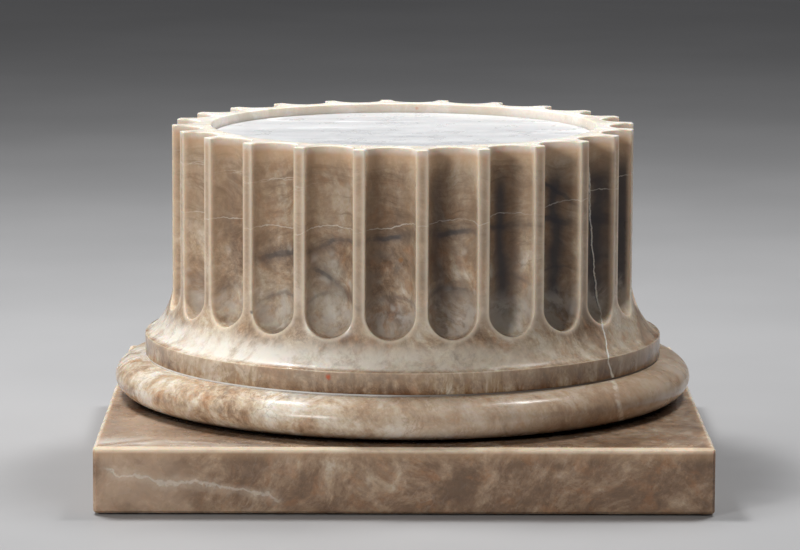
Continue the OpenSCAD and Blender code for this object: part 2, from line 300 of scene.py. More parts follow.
def make_drum():
    """The drum: a half-flute patch of each kind, mirrored and repeated round the axis, then merged."""
    straight = straight_rows()
    outside = turned_rows(drum_outside(), COLUMNS // 2)
    inside = turned_rows(drum_inside(), COLUMNS)
    patches = [straight, end_rows(), rim_rows(straight[-1]), outside, inside]
    verts, faces = [], []

    def add_faces(base, columns, rows, stride):
        for i in range(rows - 1):
            for j in range(columns - 1):
                k = base + i * stride + j
                faces.append((k, k + 1, k + 1 + stride, k + stride))

    def add_underside(base, outer, inner):
        """Stitches the coarse ring at the fillet's foot to the finer ring at the bore."""
        verts.extend(outer)
        verts.extend(inner)
        fine = base + len(outer)
        for j in range(len(outer) - 1):
            faces.append((base + j, fine + 2 * j, fine + 2 * j + 1))
            faces.append((base + j, fine + 2 * j + 1, base + j + 1))
            faces.append((base + j + 1, fine + 2 * j + 1, fine + 2 * j + 2))

    for i in range(FLUTES):
        turn = FLUTE_TURN + PITCH * i
        for side in (1, -1):
            def placed(rows):
                result = rows.reshape(-1, 5).copy()
                x, y = result[:, 0].copy(), result[:, 1] * side
                result[:, 0] = x * math.cos(turn) - y * math.sin(turn)
                result[:, 1] = x * math.sin(turn) + y * math.cos(turn)
                return np.column_stack([result, y / FLUTE_R])
            for patch in patches:
                base = len(verts)
                verts.extend(placed(patch))
                add_faces(base, patch.shape[1], patch.shape[0], patch.shape[1])
            add_underside(len(verts), placed(outside[-1:]), placed(inside[-1:]))
    table = np.array(verts)
    channels = {"edge_glow": table[:, 3], "flute_depth": table[:, 4], "flute_across": table[:, 5]}
    return finish_mesh("drum_stone", table[:, :3], faces, channels, merge=4e-6, angle=math.radians(50))


def make_torus():
    """The torus: a half-elliptical nose, flat beds and the drain's bore."""
    crown_r = FILLET_R
    nose = TORUS_HIGH.x - crown_r
    half = (TORUS_HIGH.z - TORUS_LOW.z) / 2
    turns = np.radians(np.linspace(-90, 90, 49))
    outline = [(crown_r + nose * math.cos(t), TORUS_LOW.z + half + half * math.sin(t)) for t in turns]
    outline += [(r, TORUS_HIGH.z) for r in np.linspace(crown_r, BORE_R, 6)[1:]]
    outline += [(r, TORUS_LOW.z) for r in np.linspace(BORE_R, crown_r, 6)[:-1]]
    return revolve("torus_stone", outline, 384)


def make_liner():
    """The spun bowl: one smooth wall from the flange's rolled lip down to the drain hole."""
    flange_top = LINER_HIGH.z
    flange_r = LINER_HIGH.x
    floor = LINER_LOW.z + LINER_T
    inside = arc(BOWL_R - BOWL_BEND, floor + BOWL_FALL + BOWL_BEND, BOWL_BEND, 0, -90, 24)
    under = arc(BOWL_R - BOWL_BEND, floor + BOWL_FALL + BOWL_BEND, BOWL_BEND + LINER_T, -90, 0, 24)
    lip = arc(BOWL_R + 3 * MM, flange_top - 3 * MM, 3 * MM, 90, 180, 6)
    outline = [(flange_r, flange_top - LINER_T), (flange_r, flange_top)] + lip + inside
    outline += [(FLOOR_SEAT_R, floor), (FLOOR_HOLE_R, floor), (FLOOR_HOLE_R, LINER_LOW.z),
                (FLOOR_SEAT_R, LINER_LOW.z)]
    outline += under + [(BOWL_R + LINER_T, flange_top - LINER_T)]
    return revolve("bowl_spinning", outline, 256)


def make_knob():
    """The stopper's knob: a waisted neck under a bun with a small finial."""
    base, top = KNOB_LOW.z, KNOB_HIGH.z
    wide = KNOB_HIGH.x
    height = top - base
    neck = [(6 * MM, base), (6 * MM, base + 1 * MM), (4.9 * MM, base + 2 * MM), (4.4 * MM, base + 4 * MM),
            (4.9 * MM, base + 6.4 * MM), (6 * MM, base + 8 * MM)]
    centre = base + height * 0.7
    bun = [(wide * math.cos(t), centre + (top - 0.8 * MM - centre) * math.sin(t))
           for t in np.radians(np.linspace(-58, 82, 24))]
    finial = [(0.9 * MM, top - 0.2 * MM), (0.4 * MM, top)]
    stem_r = 3.05 * MM
    bore = [(0.4 * MM, base + 10.5 * MM), (stem_r, base + 10.5 * MM), (stem_r, base)]
    return revolve("knob_turning", neck + bun + finial + bore, 96)


def soften_cad(node, width, segments=3, angle=25):
    """Round the sharp edges of a CAD node with modifiers only."""
    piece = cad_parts[node]
    weld = piece.modifiers.new("weld", "WELD")
    weld.merge_threshold = 2e-6
    bevel = piece.modifiers.new("bevel", "BEVEL")
    bevel.width = width
    bevel.segments = segments
    bevel.limit_method = "ANGLE"
    bevel.angle_limit = math.radians(angle)
    bevel.harden_normals = False
    smooth = piece.modifiers.new("normals", "WEIGHTED_NORMAL")
    smooth.keep_sharp = False
    for face in piece.data.polygons:
        face.use_smooth = True
    return piece


# ---------------------------------------------------------------- materials

class Tree:
    """Short calls that build one material's nodes."""

    def __init__(self, name):
        self.material = bpy.data.materials.new(name)
        self.material.use_nodes = True
        self.nodes = self.material.node_tree.nodes
        self.links = self.material.node_tree.links
        self.shader = self.nodes["Principled BSDF"]
        self.place = self.add("ShaderNodeTexCoord").outputs["Object"]

    def add(self, kind, inputs=None, **settings):
        node = self.nodes.new(kind)
        for key, value in settings.items():
            setattr(node, key, value)
        for key, value in (inputs or {}).items():
            self.feed(node.inputs[key], value)
        return node

    def feed(self, socket, value):
        if isinstance(value, bpy.types.NodeSocket):
            self.links.new(value, socket)
        elif isinstance(value, (tuple, list)) and socket.type == "RGBA":
            socket.default_value = (*value[:3], 1)
        else:
            socket.default_value = value

    def math(self, operation, a, b=0.0, c=0.0):
        return self.add("ShaderNodeMath", {0: a, 1: b, 2: c}, operation=operation).outputs[0]

    def times(self, first, *others):
        """The product of all the values."""
        for other in others:
            first = self.math("MULTIPLY", first, other)
        return first

    def vector(self, operation, a, b=(0, 0, 0)):
        return self.add("ShaderNodeVectorMath", {0: a, 1: b}, operation=operation).outputs[0]

    def scaled(self, vector, factor):
        return self.add("ShaderNodeVectorMath", {0: vector, "Scale": factor}, operation="SCALE").outputs[0]

    def turned(self, vector, degrees=(0, 0, 0), scale=(1, 1, 1), shift=(0, 0, 0)):
        inputs = {"Vector": vector, "Location": shift, "Rotation": [math.radians(d) for d in degrees],
                  "Scale": scale}
        return self.add("ShaderNodeMapping", inputs).outputs[0]

    def noise(self, vector, scale, detail=4, rough=0.55, distortion=0.0, colour=False):
        inputs = {"Vector": vector, "Scale": scale, "Detail": detail, "Roughness": rough,
                  "Distortion": distortion}
        return self.add("ShaderNodeTexNoise", inputs).outputs["Color" if colour else "Fac"]

    def span(self, value, low, high, to_low=0.0, to_high=1.0, smooth=True):
        inputs = {0: value, 1: low, 2: high, 3: to_low, 4: to_high}
        kind = "SMOOTHSTEP" if smooth else "LINEAR"
        return self.add("ShaderNodeMapRange", inputs, interpolation_type=kind).outputs[0]

    def mix(self, factor, a, b, blend="MIX"):
        node = self.add("ShaderNodeMix", data_type="RGBA", blend_type=blend)
        self.feed(node.inputs[0], factor)
        self.feed(node.inputs[6], a)
        self.feed(node.inputs[7], b)
        return node.outputs[2]

    def tinted(self, colour, tint):
        """The colour multiplied by a tint."""
        return self.mix(1.0, colour, tint, "MULTIPLY")

    def ramp(self, factor, stops):
        node = self.add("ShaderNodeValToRGB", {0: factor})
        elements = node.color_ramp.elements
        while len(elements) < len(stops):
            elements.new(0.5)
        for element, (position, colour) in zip(elements, stops):
            element.position = position
            element.color = (*colour, 1)
        return node.outputs[0]

    def axes(self):
        node = self.add("ShaderNodeSeparateXYZ", {0: self.place})
        return node.outputs[0], node.outputs[1], node.outputs[2]

    def from_axis(self):
        """Distance from the object's upright axis."""
        flat = self.turned(self.place, scale=(1, 1, 0))
        return self.add("ShaderNodeVectorMath", {0: flat}, operation="LENGTH").outputs["Value"]

    def channel(self, name):
        """A float channel stored on the mesh."""
        return self.add("ShaderNodeAttribute", attribute_name=name).outputs["Fac"]

    def bump(self, height, distance, strength=1.0, onto=None):
        inputs = {"Height": height, "Distance": distance, "Strength": strength}
        if onto is not None:
            inputs["Normal"] = onto
        return self.add("ShaderNodeBump", inputs).outputs[0]

    def thread(self, value, width):
        """1 where a value crosses zero, falling to 0 over a width."""
        return self.span(self.math("ABSOLUTE", value), width * 0.4, width * 2, 1.0, 0.0)

    def set(self, **values):
        for key, value in values.items():
            self.feed(self.shader.inputs[key.replace("_", " ")], value)
        return self.material


def within(tree, value, low, high, edge):
    """1 between two limits, falling smoothly to 0 over an edge outside them."""
    rise = tree.span(value, low - edge, low)
    fall = tree.span(value, high, high + edge, 1.0, 0.0)
    return tree.times(rise, fall)


def sheet_level(tree, slope, height, wander, wander_scale):
    """Signed height over a near-flat, gently wavy sheet: z = height + slope . (x, y)."""
    x, y, z = tree.axes()
    flat = tree.math("MULTIPLY_ADD", x, slope[0], tree.times(y, slope[1]))
    level = tree.math("SUBTRACT", tree.math("SUBTRACT", z, height), flat)
    drift = tree.noise(tree.place, wander_scale, 5, 0.62)
    return tree.math("MULTIPLY_ADD", tree.math("SUBTRACT", drift, 0.5), wander, level)


ONYX_COFFEE = (0.110, 0.066, 0.040)
ONYX_UMBER = (0.210, 0.132, 0.082)
ONYX_TAN = (0.390, 0.278, 0.190)
ONYX_SAND = (0.575, 0.452, 0.335)
ONYX_CREAM = (0.785, 0.695, 0.575)
ONYX_MILK = (0.890, 0.860, 0.790)
ONYX_SMOKE = (0.062, 0.063, 0.075)
ONYX_RUST = (0.430, 0.185, 0.070)
ONYX_ASH = (0.330, 0.300, 0.265)

# Colours laid over the stone in places, several of them painted light and shade as noted. A tint multiplies
# what is under it.
BEDDED_TAN = (0.400, 0.285, 0.190)
LAND_TAN = (0.700, 0.540, 0.395)
FILLET_TINT = (0.50, 0.36, 0.23)
# paler stone on the flare, also carrying painted light on its left
FLARE_CREAM = (0.890, 0.775, 0.620)
# tint of the painted shade on the right of the flare and fillet
FLARE_SHADE_TINT = (0.68, 0.64, 0.60)
# tint of the painted shade in the flutes' hollows
HOLLOW_SHADE_TINT = (0.52, 0.48, 0.45)
# brown fringe of the flutes' band, partly smoky stone and partly painted shade
SHADE_BAND_FRINGE = (0.250, 0.145, 0.078)
FLOOR_GREY = (0.640, 0.590, 0.530)
# painted glow of light through the stone under the rim
RIM_GLOW_WARM = (0.780, 0.545, 0.350)
# painted glow along the thin edges
EDGE_GLOW_CREAM = (0.900, 0.790, 0.640)
# painted light from above on the rim and in the recess, in clouds of these two colours
RIM_LIT_CLOUD = (0.745, 0.690, 0.595)
RIM_LIT_CREAM = (0.870, 0.845, 0.790)
# painted shade under the torus's nose
TORUS_UNDERSIDE_SHADE = (0.050, 0.030, 0.020)
TORUS_CALM = (0.585, 0.430, 0.310)
# tint of the painted shade on the torus's right
TORUS_SHADE_TINT = (0.72, 0.66, 0.60)
PLINTH_TAN = (0.365, 0.240, 0.160)
# painted light on the plinth's left
PLINTH_PAINTED_LIGHT = (0.660, 0.490, 0.360)
PLINTH_TOP_TINT = (0.80, 0.81, 0.83)
# painted glow along the plinth's upper edges, warm and pale
PLINTH_GLOW_WARM = (0.680, 0.455, 0.275)
PLINTH_EDGE_GLOW = (0.930, 0.800, 0.630)
# painted shade on the plinth under the torus
TORUS_CONTACT_SHADE = (0.040, 0.022, 0.014)

# Heights in metres between which the drum's marks fade in or out.
SHAFT_START = (0.160, 0.190)
UPPER_BEDS = (0.235, 0.275)
LOWER_BEDS = (0.232, 0.268)
FLUTE_FLOOR = (0.188, 0.212)
CRACK_SHADOW_HEIGHTS = (0.185, 0.305)
CRACK_TOP = (0.318, 0.326)
SHADE_BAND_FOOT_Z = 0.200

# Sheets through the drum: slope, height, wander, scale of the wander, width, strength and limits in x.
DARK_SHEETS = [
    ((0.123, -0.186), 0.2195, 30 * MM, 13, 2.6 * MM, 0.85, -0.150, 0.25),
    ((-0.730, 0.000), 0.1610, 8 * MM, 16, 2.2 * MM, 0.85, -0.088, -0.045),
    ((-0.350, -0.300), 0.3030, 24 * MM, 12, 2.0 * MM, 0.90, 0.140, 0.185),
    ((0.080, 0.110), 0.2250, 40 * MM, 9, 1.5 * MM, 0.45, -0.30, 0.30),
]
WHITE_SHEETS = [
    ((0.070, 0.081), 0.2931, 24 * MM, 16, 0.38 * MM, 0.50, -0.25, 0.25),
    ((0.060, 0.110), 0.3440, 26 * MM, 15, 0.32 * MM, 0.36, -0.25, -0.09),
    ((0.020, 0.060), 0.3300, 26 * MM, 17, 0.30 * MM, 0.30, -0.25, -0.10),
]

# Spots on the drum: centre, size and colour.
SPOTS = [
    ((-0.0750, -0.2590, 0.1302), 4.0 * MM, (0.60, 0.10, 0.03)),
    ((0.0160, 0.2005, 0.3485), 3.2 * MM, (0.62, 0.22, 0.05)),
    ((-0.0031, -0.2162, 0.2410), 4.0 * MM, (0.36, 0.17, 0.06)),
    ((-0.1533, -0.1859, 0.1833), 3.0 * MM, ONYX_SMOKE),
]


def onyx(name, grain_turn, grain_scale, shift, tone, details):
    """Polished banded onyx: drifts and clouds, wisps along the grain, crystals and some translucency."""
    tree = Tree(name)
    place = tree.turned(tree.place, shift=shift)
    drift = tree.vector("SUBTRACT", tree.noise(place, 6, 3, 0.55, colour=True), (0.5, 0.5, 0.5))
    curl = tree.vector("SUBTRACT", tree.noise(place, 30, 3, 0.6, colour=True), (0.5, 0.5, 0.5))
    bent = tree.vector("ADD", place, tree.scaled(drift, 0.10))
    bent = tree.vector("ADD", bent, tree.scaled(curl, 0.010))
    grained = tree.turned(tree.turned(bent, grain_turn), scale=grain_scale)

    body = tree.times(tree.noise(bent, 5, 3), 0.22)
    body = tree.math("MULTIPLY_ADD", tree.noise(bent, 18, 6, 0.68), 0.26, body)
    body = tree.math("MULTIPLY_ADD", tree.noise(grained, 17, 6, 0.65, 0.25), 0.28, body)
    body = tree.math("MULTIPLY_ADD", tree.noise(bent, 85, 5, 0.75), 0.17, body)
    body = tree.math("MULTIPLY_ADD", tree.noise(grained, 95, 3, 0.60), 0.07, body)
    level = tree.span(body, 0.380 - tone, 0.600 - tone, smooth=False)
    colour = tree.ramp(level, [(0.05, ONYX_COFFEE), (0.25, ONYX_UMBER), (0.45, ONYX_TAN),
                               (0.63, ONYX_SAND), (0.82, ONYX_CREAM), (1.0, ONYX_MILK)])

    stain = tree.span(tree.noise(bent, 42, 4, 0.65), 0.50, 0.70, 0.0, 0.46)
    colour = tree.mix(stain, colour, ONYX_RUST)
    wisp = tree.thread(tree.math("SUBTRACT", tree.noise(grained, 26, 2, 0.5, 0.2), 0.5), 0.016)
    wisp = tree.times(wisp, tree.span(tree.noise(place, 11, 3), 0.48, 0.64, 0.0, 0.09))
    colour = tree.mix(wisp, colour, ONYX_MILK)
    fog = tree.thread(tree.math("SUBTRACT", tree.noise(grained, 10, 4, 0.6, 0.2), 0.47), 0.020)
    fog = tree.times(fog, tree.span(tree.noise(place, 14, 3), 0.48, 0.62, 0.0, 0.42))
    colour = tree.mix(fog, colour, ONYX_COFFEE)
    contour = tree.thread(tree.math("SUBTRACT", tree.noise(bent, 34, 5, 0.62, 0.3), 0.5), 0.012)
    contour = tree.times(contour, tree.span(tree.noise(place, 16, 3), 0.42, 0.60, 0.0, 0.42))
    colour = tree.mix(contour, colour, ONYX_UMBER)
    crystal = tree.noise(place, 190, 4, 0.75)
    colour = tree.mix(tree.span(crystal, 0.38, 0.66, 0.0, 0.34), colour, ONYX_MILK, "OVERLAY")

    colour, groove, dull = details(tree, bent, colour)

    normal = tree.bump(tree.noise(place, 24, 2, 0.5), 0.5 * MM, 0.5)
    pits = tree.span(tree.noise(place, 420, 2, 0.5), 0.66, 0.80, 1.0, 0.0)
    normal = tree.bump(pits, 0.12 * MM, 0.5, normal)
    normal = tree.bump(tree.math("SUBTRACT", 1.0, groove), 0.4 * MM, 0.8, normal)
    rough = tree.span(tree.noise(place, 34, 4, 0.6), 0.3, 0.7, 0.17, 0.30)
    rough = tree.math("MULTIPLY_ADD", dull, 0.30, rough)
    return tree.set(Base_Color=colour, Roughness=rough, Normal=normal, IOR=1.42, Subsurface_Weight=0.4,
                    Subsurface_Radius=(1.0, 0.55, 0.30), Subsurface_Scale=9 * MM)


def crack_line(tree, width):
    """The hair crack on the right of the drum and the torus: its line, the offset from it and its extent."""
    x, y, z = tree.axes()
    bow = tree.math("MULTIPLY_ADD", z, 0.443, -0.306)
    line_x = tree.math("MULTIPLY_ADD", bow, z, 0.2404)
    jog = tree.times(tree.math("SUBTRACT", tree.noise(tree.place, 55, 4, 0.65), 0.5), 7 * MM)
    offset = tree.math("ADD", tree.math("SUBTRACT", x, line_x), jog)
    front = tree.span(y, -0.09, -0.07, 1.0, 0.0)
    here = tree.times(front, tree.span(z, *CRACK_TOP, 1.0, 0.0))
    return tree.times(tree.thread(offset, width), here), offset, here


def bedding(tree, bent, colour):
    """Umber and sand lines in the drum's upper part, ash and pale spots in its lower part."""
    x, _, z = tree.axes()
    lines = tree.noise(tree.turned(bent, scale=(1.2, 1.2, 14)), 11, 5, 0.65, 0.3)
    upper = tree.span(z, *UPPER_BEDS)
    colour = tree.mix(tree.times(upper, 0.45), colour, BEDDED_TAN)
    colour = tree.mix(tree.times(upper, tree.span(lines, 0.50, 0.68, 0.0, 0.55)), colour, ONYX_UMBER)
    colour = tree.mix(tree.times(upper, tree.span(lines, 0.36, 0.48, 0.30, 0.0)), colour, ONYX_SAND)

    lower = tree.times(tree.span(z, *LOWER_BEDS, 1.0, 0.0), tree.span(z, *SHAFT_START))
    ash = tree.times(lower, tree.span(tree.noise(bent, 22, 4, 0.6), 0.38, 0.60, 0.0, 0.62),
                     tree.span(x, -0.16, -0.02, 0.25, 1.0))
    colour = tree.mix(ash, colour, ONYX_ASH)
    grains = tree.add("ShaderNodeTexVoronoi", {"Vector": bent, "Scale": 62.0}).outputs["Distance"]
    spots = tree.times(lower, tree.span(grains, 0.12, 0.42, 1.0, 0.0),
                       tree.span(tree.noise(bent, 26, 2), 0.48, 0.66, 0.0, 0.5))
    return tree.mix(spots, colour, ONYX_MILK)


def lands_and_flare(tree, bent, colour):
    """Paler lands, darker runs down the fillet, and a milky flare with painted light on its left and painted
    shade to the right.
    """
    x, _, z = tree.axes()
    off_flute = tree.math("SUBTRACT", 1.0, tree.channel("flute_depth"))
    land = tree.times(tree.span(z, *SHAFT_START), off_flute, 0.42)
    colour = tree.mix(land, colour, LAND_TAN)
    runs = tree.noise(tree.turned(bent, scale=(1, 1, 0.20)), 90, 5, 0.7)
    band = tree.times(within(tree, z, DRUM_LOW.z, FILLET_TOP - 1.5 * MM, 1 * MM),
                      tree.span(x, -0.22, 0.08, 0.75, 1.0), tree.span(runs, 0.40, 0.58, 0.42, 1.0))
    colour = tree.mix(band, colour, tree.tinted(colour, FILLET_TINT))
    # paler stone on the flare, with painted light that is strongest on the left
    flare = tree.times(tree.span(z, FILLET_TOP, FILLET_TOP + 3 * MM),
                       tree.span(z, FLARE_JOIN_Z - 8 * MM, FLARE_JOIN_Z + 14 * MM, 1.0, 0.0),
                       tree.span(tree.noise(bent, 46, 5, 0.72), 0.34, 0.58, 0.42, 0.95),
                       tree.span(x, 0.02, 0.18, 1.0, 0.25))
    pale = tree.mix(tree.span(x, -0.16, 0.06, 0.85, 0.30), FLARE_CREAM, ONYX_MILK)
    colour = tree.mix(flare, colour, pale)
    # painted shade on the right of the flare and fillet
    right_shade = tree.times(tree.span(x, 0.02, 0.24, 0.0, 0.85), tree.span(z, *SHAFT_START, 1.0, 0.0))
    return tree.mix(right_shade, colour, tree.tinted(colour, FLARE_SHADE_TINT))


def flute_smoke(tree, bent, colour):
    """Painted shade in the hollows of the flutes, a leaning band that is partly smoky stone and partly
    painted shade with a dark reflection, and the paler floor at their feet.
    """
    x, _, z = tree.axes()
    depth = tree.channel("flute_depth")
    # painted shade: darkens the flutes' hollows, fading out towards the rim
    shade = tree.times(tree.math("POWER", depth, 1.5),
                       tree.span(z, RIM_Z - 45 * MM, RIM_Z - 4 * MM, 1.0, 0.0),
                       tree.span(tree.noise(bent, 13, 4, 0.6), 0.30, 0.60, 0.14, 0.46),
                       within(tree, x, -0.02, 0.06, 0.16))
    colour = tree.mix(shade, colour, tree.tinted(colour, HOLLOW_SHADE_TINT))
    # partly smoky stone and partly painted shade with a dark reflection, kept on the flute walls that face
    # away from the lamps
    lean = tree.math("MULTIPLY_ADD", x, -SHADE_BAND_LEAN, tree.channel("flute_across"))
    frayed = tree.math("MULTIPLY_ADD", tree.noise(bent, 30, 3), 0.5, lean)
    off_band = tree.math("ABSOLUTE", tree.math("ADD", frayed, 0.50))
    standing = tree.times(tree.span(x, -0.06, 0.12, 0.12, 1.0),
                          within(tree, z, SHADE_BAND_FOOT_Z, RIM_Z - 48 * MM, 30 * MM),
                          tree.span(depth, 0.05, 0.30))
    fringe = tree.times(standing, tree.span(off_band, 0.20, 0.60, 0.50, 0.0))
    colour = tree.mix(fringe, colour, SHADE_BAND_FRINGE)
    shade_and_smoke = tree.times(standing, tree.span(off_band, 0.03, 0.36, 0.84, 0.0))
    colour = tree.mix(shade_and_smoke, colour, ONYX_SMOKE)
    floor = tree.times(tree.span(z, *FLUTE_FLOOR, 1.0, 0.0), tree.span(depth, 0.05, 0.40),
                       tree.span(tree.noise(bent, 60, 4, 0.65), 0.38, 0.60, 0.10, 0.62))
    return tree.mix(floor, colour, FLOOR_GREY)


def dark_sheets(tree, colour):
    """Thin sheets of smoke, each a line with a soft halo that is stronger in the flutes."""
    x, _, _ = tree.axes()
    depth = tree.channel("flute_depth")
    patchy = tree.span(tree.noise(tree.place, 14, 3), 0.38, 0.52, 0.05, 1.0)
    for slope, height, wander, scale, width, strength, low_x, high_x in DARK_SHEETS:
        level = tree.math("MULTIPLY_ADD", depth, -6 * MM, sheet_level(tree, slope, height, wander, scale))
        line = tree.times(tree.thread(level, width), patchy, 0.88)
        halo = tree.span(tree.math("ABSOLUTE", level), 0.0, width * 4, 0.50, 0.0)
        line = tree.times(tree.math("MAXIMUM", line, halo), within(tree, x, low_x, high_x, 6 * MM),
                          tree.math("MULTIPLY_ADD", depth, 0.75 * strength, 0.25 * strength))
        colour = tree.mix(line, colour, ONYX_SMOKE)
    return colour


def white_sheets(tree, colour):
    """Hair-thin white threads, broken in places."""
    x, _, _ = tree.axes()
    broken = tree.span(tree.noise(tree.place, 19, 3), 0.40, 0.54)
    for slope, height, wander, scale, width, strength, low_x, high_x in WHITE_SHEETS:
        level = sheet_level(tree, slope, height, wander, scale)
        line = tree.times(tree.thread(level, width), within(tree, x, low_x, high_x, 6 * MM),
                          tree.math("MULTIPLY_ADD", broken, 0.7 * strength, 0.3 * strength))
        colour = tree.mix(line, colour, ONYX_MILK)
    return colour


def rim_painted_glow(tree, bent, colour):
    """Painted glow of light through the stone towards the rim and along the thin edges, and cloudy cream that
    paints the light from above on the rim and in the recess.
    """
    _, _, z = tree.axes()
    # painted glow: warmer colour in the top few centimetres, as light through the stone
    rim_warm_glow = tree.times(tree.span(z, RIM_Z - 28 * MM, RIM_Z - 6 * MM), 0.66)
    colour = tree.mix(rim_warm_glow, colour, RIM_GLOW_WARM)
    # painted glow along the edges, from the edge_glow channel
    colour = tree.mix(tree.times(tree.channel("edge_glow"), 0.58), colour, EDGE_GLOW_CREAM)
    # painted light from above: cloudy cream on the rim's top, its upper edge and the recess wall
    top = tree.times(tree.span(z, RIM_Z - 9.5 * MM, RIM_Z - 2 * MM), 0.90)
    inside = tree.times(tree.span(tree.from_axis(), RECESS_R + 3.8 * MM, RECESS_R + 13.8 * MM, 1.0, 0.0),
                        tree.span(z, LEDGE_Z, LEDGE_Z + 5 * MM), 0.90)
    clouds = tree.span(tree.noise(bent, 26, 6, 0.68), 0.36, 0.64)
    return tree.mix(tree.math("MAXIMUM", top, inside), colour, tree.mix(clouds, RIM_LIT_CLOUD, RIM_LIT_CREAM))


def mineral_spots(tree, colour):
    """Small frayed spots of red, rust, brown and smoke."""
    for centre, size, tint in SPOTS:
        away = tree.add("ShaderNodeVectorMath", {0: tree.place, 1: centre}, operation="DISTANCE")
        frayed = tree.math("MULTIPLY_ADD", tree.noise(tree.place, 260, 3), 3 * MM, away.outputs["Value"])
        colour = tree.mix(tree.span(frayed, size * 0.5, size * 1.4, 0.85, 0.0), colour, tint)
    return colour


def drum_details(tree, bent, colour):
    """The drum's marks, with their painted light and shade, laid over its stone one after another, and last
    the crack with the painted shadow along its left.
    """
    _, _, z = tree.axes()
    colour = bedding(tree, bent, colour)
    colour = lands_and_flare(tree, bent, colour)
    colour = flute_smoke(tree, bent, colour)
    colour = dark_sheets(tree, colour)
    colour = white_sheets(tree, colour)
    colour = rim_painted_glow(tree, bent, colour)
    colour = mineral_spots(tree, colour)

    crack, offset, here = crack_line(tree, 0.60 * MM)
    # painted shadow in the crack: a dark line just left of it
    black = tree.times(within(tree, offset, -1.5 * MM, -0.5 * MM, 0.4 * MM), here,
                       within(tree, z, *CRACK_SHADOW_HEIGHTS, 12 * MM), 0.9)
    colour = tree.mix(black, colour, ONYX_SMOKE)
    colour = tree.mix(tree.times(crack, 0.90), colour, ONYX_MILK)
    foot = tree.times(within(tree, z, FILLET_TOP + 4 * MM, FILLET_TOP + 24 * MM, 5 * MM), 0.20)
    return colour, crack, tree.math("MAXIMUM", tree.channel("flute_depth"), foot)


def torus_details(tree, _bent, colour):
    """Painted shade under the nose, calmer stone and painted shade to the right, and the crack as an uneven
    cream mark.
    """
    x, _, z = tree.axes()
    # painted shade on the torus's underside
    underside_shade = tree.span(z, TORUS_LOW.z + 1 * MM, TORUS_LOW.z + 8 * MM, 0.92, 0.0)
    colour = tree.mix(underside_shade, colour, TORUS_UNDERSIDE_SHADE)
    colour = tree.mix(tree.span(x, -0.14, 0.04, 0.0, 0.50), colour, TORUS_CALM)
    # painted shade on the torus's right side
    colour = tree.mix(tree.span(x, 0.06, 0.24, 0.0, 0.75), colour, tree.tinted(colour, TORUS_SHADE_TINT))
    crack, _, _ = crack_line(tree, 2.0 * MM)
    frayed = tree.times(crack, tree.span(tree.noise(tree.place, 110, 3), 0.40, 0.58, 0.15, 0.80))
    return tree.mix(frayed, colour, ONYX_CREAM), tree.times(crack, 0.4), 0.0


def plinth_vein(tree, colour):
    """The pale wavy vein low on the left of the plinth's front, with a fold of cream under it."""
    x, y, _ = tree.axes()
    level = sheet_level(tree, (-0.150, 0.0), 1 * MM, 40 * MM, 24)
    fold = tree.times(within(tree, x, -0.285, -0.130, 14 * MM), tree.span(y, -0.29, -0.27, 1.0, 0.0))
    line = tree.times(tree.thread(level, 1.0 * MM), fold)
    colour = tree.mix(tree.times(line, 0.30), colour, ONYX_MILK)
    under_fold = tree.times(within(tree, level, -1 * MM, 0.0, 9 * MM), fold, 0.22)
    return tree.mix(under_fold, colour, ONYX_CREAM), line


def plinth_details(tree, bent, colour):
    """The plinth's darker top, painted light on its left, its vein, a painted sheen in streaks on the top's
    front, painted shade under the torus and a painted glow along its upper edge.
    """
    x, y, z = tree.axes()
    top = PLINTH_HIGH.z
    outer = tree.math("MAXIMUM", tree.math("ABSOLUTE", x), tree.math("ABSOLUTE", y))
    inset = tree.math("SUBTRACT", PLINTH_HIGH.x, outer)
    from_edge = tree.math("MULTIPLY_ADD", inset, 1.4, tree.math("SUBTRACT", top, z))

    colour = tree.mix(0.34, colour, PLINTH_TAN)
    # painted light, fading out to the right
    painted_light = tree.times(tree.span(x, -0.30, -0.05, 0.60, 0.0), tree.span(tree.noise(bent, 12, 4), 0.34, 0.60))
    colour = tree.mix(painted_light, colour, PLINTH_PAINTED_LIGHT)
    upper_face = tree.times(tree.span(z, top - 3 * MM, top - 1 * MM), 0.8)
    colour = tree.mix(upper_face, colour, tree.tinted(colour, PLINTH_TOP_TINT))
    colour, line = plinth_vein(tree, colour)
    streaks = tree.noise(tree.turned(bent, scale=(0.35, 2.2, 1)), 16, 5, 0.65)
    # painted sheen: milky streaks of light on the top's front left
    painted_sheen = tree.times(tree.span(streaks, 0.42, 0.58), tree.span(x, -0.30, -0.08, 0.85, 0.0),
                       tree.span(y, -0.300, -0.235, 1.0, 0.0), tree.span(z, top - 4 * MM, top - 1 * MM))
    colour = tree.mix(painted_sheen, colour, ONYX_MILK)

    # painted glow: warm band a little in from the upper edges
    colour = tree.mix(tree.span(from_edge, 3 * MM, 16 * MM, 0.42, 0.0), colour, PLINTH_GLOW_WARM)
    # painted shade: a dark ring on the plinth's top under the torus
    under = tree.span(tree.from_axis(), TORUS_HIGH.x - 21 * MM, TORUS_HIGH.x - 11 * MM, 0.94, 0.0)
    colour = tree.mix(under, colour, TORUS_CONTACT_SHADE)
    # painted glow: pale line at the upper edges
    edge = tree.times(tree.span(from_edge, 2.8 * MM, 7.0 * MM, 0.90, 0.0),
                      tree.span(tree.noise(bent, 22, 4, 0.65), 0.34, 0.56, 0.60, 1.0))
    return tree.mix(edge, colour, PLINTH_EDGE_GLOW), line, 0.1


